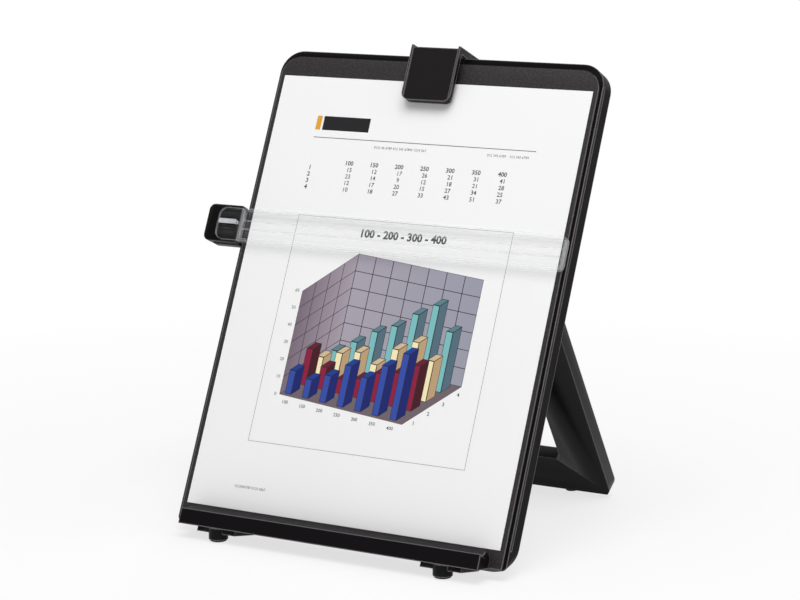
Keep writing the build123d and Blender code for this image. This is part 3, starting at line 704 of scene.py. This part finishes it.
sheet = model_sheet()
print("sheet faces:", len(sheet.data.polygons))

# %% [markdown]
# ## Printed figures
# The page carries plain numbers only. Each is a text object, turned into a very thin mesh and laid
# on the paper. They are all joined into one piece, because ink is one layer.

# %% One number
ink_height = 0.01 * mm
ink_y = -0.29 * mm


def print_number(text, x, z, size, align="CENTER", weight=0.0):
    bpy.ops.object.text_add(location=(x * mm, ink_y, z * mm), rotation=(radians(90), 0, 0))
    number = bpy.context.object
    number.data.body = text
    number.data.size = size * mm
    number.data.align_x = align
    number.data.offset = weight * mm
    number.data.extrude = ink_height
    number.data.resolution_u = 2
    bpy.ops.object.convert(target="MESH")
    bpy.ops.object.transform_apply(location=True, rotation=True, scale=True)
    return bpy.context.object


print("ink lies", round((-sheet_gap - ink_y) / mm, 2), "mm in front of the sheet's back")

# %% [markdown]
# ## The table and the chart's figures
# The table's heading line is bolder than its rows. The chart's figures follow its slanted edges.

# %% The table's numbers
def print_table():
    """A table of seven columns: a heading line and four lines of figures."""
    numbers = []
    left, pitch, line, top = -47.0, 17.8, 4.25, 222.6
    for k in range(chart_columns):
        x = left + k * pitch
        numbers.append(print_number(str(100 + 50 * k), x, top, 4.0, weight=0.09))
        for row, heights in enumerate(row_heights):
            z = top - line * (row + 1)
            numbers.append(print_number(str(heights[k]), x + 1.0, z, 3.9, weight=0.05))
    for row in range(chart_rows):
        numbers.append(print_number(f"{row + 1}", -74.5, 218.4 - line * row, 4.0, weight=0.09))
    return numbers


print("numbers in the table:", (chart_columns + 1) * (chart_rows + 1) - 1)


# %% The chart's numbers
def print_chart_figures():
    """Levels up the left side, columns along the front and rows up the right side."""
    numbers = []
    foot_x, foot_z = chart_foot
    for k in range(chart_levels + 1):
        z = foot_z + chart_height * k / chart_levels - 0.8
        numbers.append(print_number(str(k * 10), foot_x - 2.2, z, 3.0, align="RIGHT"))
    for k in range(chart_columns):
        share = (k + 0.4) / chart_columns
        numbers.append(print_number(str(100 + 50 * k), foot_x + chart_along[0] * share,
                                    foot_z + chart_along[1] * share - 4.8, 3.0, weight=0.03))
    for k in range(chart_rows):
        share = (k + 0.4) / chart_rows
        x = foot_x + chart_along[0] + chart_back[0] * share + 4.0
        z = foot_z + chart_along[1] + chart_back[1] * share - 2.0
        numbers.append(print_number(f"{k + 1}", x, z, 3.2, weight=0.05))
    return numbers


print("numbers round the chart:", chart_levels + 1 + chart_columns + chart_rows)


# %% Print and join all figures
def print_figures():
    numbers = print_table() + print_chart_figures()
    numbers.append(print_number("100 - 200 - 300 - 400", 1.5, 177.6, 7.0, weight=0.24))
    numbers.append(print_number("0123 45 6789 012 345 67890 1234 567", -32.0, 234.6, 2.3,
                                align="LEFT"))
    numbers.append(print_number("012 345 6789    012 345 6789", 74.9, 234.6, 2.3, align="RIGHT"))
    numbers.append(print_number("0123456789 0123 4567", -76.8, 13.6, 2.3, align="LEFT"))
    bpy.ops.object.select_all(action="DESELECT")
    for number in numbers:
        number.select_set(True)
    bpy.context.view_layer.objects.active = numbers[0]
    bpy.ops.object.join()
    figures = bpy.context.object
    figures.name = "printed_figures"
    figures.data.materials.clear()
    figures.data.materials.append(printing_ink)
    figures.data.transform(lean_back)
    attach(figures, "document")
    return figures


figures = print_figures()
print("figure faces:", len(figures.data.polygons))

# %% [markdown]
# ## Studio
# The photograph was lit by large soft lamps from above, on a white ground. The camera, glass and
# metal see plain white around the object, while the light on it comes from the lamps and a dim
# sky. The floor shows its own white to the camera and still takes part of the object's shadow.

# %% Lamps and the rays that see white
def soft_lamp(name, place, aim, size, watts):
    bpy.ops.object.light_add(type="AREA", location=place)
    lamp = bpy.context.object
    lamp.name = name
    lamp.data.shape = "RECTANGLE"
    lamp.data.size, lamp.data.size_y = size
    lamp.data.energy = watts
    lamp.rotation_mode = "QUATERNION"
    lamp.rotation_quaternion = (Vector(aim) - Vector(place)).to_track_quat("-Z", "Y")
    return lamp


def seen_directly(tree, kinds=("Is Camera Ray", "Is Transmission Ray", "Is Glossy Ray")):
    """1 for a ray from the camera, or one that metal or glass sends on."""
    paths = tree.nodes.new("ShaderNodeLightPath")
    seen = paths.outputs[kinds[0]]
    for kind in kinds[1:]:
        either = tree.nodes.new("ShaderNodeMath")
        either.operation = "MAXIMUM"
        tree.links.new(seen, either.inputs[0])
        tree.links.new(paths.outputs[kind], either.inputs[1])
        seen = either.outputs[0]
    return seen


print("kinds of ray that see white:", len(seen_directly.__defaults__[0]))

# %% [markdown]
# ## Floor and sky
# The floor is white paint. To the camera it shows mostly plain white, more so far away, and keeps
# enough of its own shading near the object for a soft shadow.

# %% Floor and sky
def studio_floor():
    """A white floor that keeps a share of its shading, more of it close to the object."""
    bpy.ops.object.select_all(action="DESELECT")
    bpy.ops.mesh.primitive_plane_add(size=12, location=(0, 0, -0.0005))
    floor = bpy.context.object
    floor.name = "studio_floor"
    finish = Finish("studio_white", (0.9, 0.9, 0.9), 0.9, Specular_IOR_Level=0.1)
    mottle = finish.noise(3.0, detail=2.0)
    finish.feed("Base Color", finish.mix(mottle, (0.89, 0.89, 0.89), (0.91, 0.91, 0.91)))
    tree = finish.tree
    white = tree.nodes.new("ShaderNodeEmission")
    white.inputs["Strength"].default_value = 1
    distance = finish.node("ShaderNodeVectorMath", {"operation": "LENGTH"}, {0: finish.place()},
                           output="Value")
    fade = finish.node("ShaderNodeMapRange", None,
                       {"Value": distance, "From Min": 0.2, "From Max": 0.7, "To Min": 0.72,
                        "To Max": 1.0})
    share = Field(finish, seen_directly(tree)) * fade
    mix = tree.nodes.new("ShaderNodeMixShader")
    tree.links.new(share.socket, mix.inputs[0])
    tree.links.new(finish.shader.outputs[0], mix.inputs[1])
    tree.links.new(white.outputs[0], mix.inputs[2])
    tree.links.new(mix.outputs[0], tree.nodes["Material Output"].inputs["Surface"])
    floor.data.materials.append(finish.material)
    return floor


def studio_world(level):
    world = bpy.data.worlds.new("studio")
    bpy.context.scene.world = world
    world.use_nodes = True
    tree = world.node_tree
    tree.nodes.clear()
    lit, white = tree.nodes.new("ShaderNodeBackground"), tree.nodes.new("ShaderNodeBackground")
    lit.inputs["Color"].default_value = (1, 1, 1, 1)
    lit.inputs["Strength"].default_value = level
    white.inputs["Strength"].default_value = 1
    white.inputs["Color"].default_value = (1, 1, 1, 1)
    mix = tree.nodes.new("ShaderNodeMixShader")
    out = tree.nodes.new("ShaderNodeOutputWorld")
    tree.links.new(seen_directly(tree), mix.inputs[0])
    tree.links.new(lit.outputs[0], mix.inputs[1])
    tree.links.new(white.outputs[0], mix.inputs[2])
    tree.links.new(mix.outputs[0], out.inputs["Surface"])


studio_floor()
studio_world(0.3)
print("floor and sky ready")

# %% [markdown]
# ## Lamps
# One large lamp over the viewer lights the page evenly. Two weaker ones, at the right and behind,
# shape the side wall, the leg and the clip.

# %% Lamps
middle = (0.0, 0.0, 0.15)
soft_lamp("top_lamp", (0.35, -0.7, 1.9), middle, (1.6, 1.2), 28.5)
soft_lamp("right_lamp", (1.8, 0.2, 0.9), middle, (1.0, 1.4), 7)
soft_lamp("rear_lamp", (-0.6, 1.7, 1.2), middle, (1.4, 0.8), 6)
bpy.context.scene.view_settings.view_transform = "Standard"

# %% [markdown]
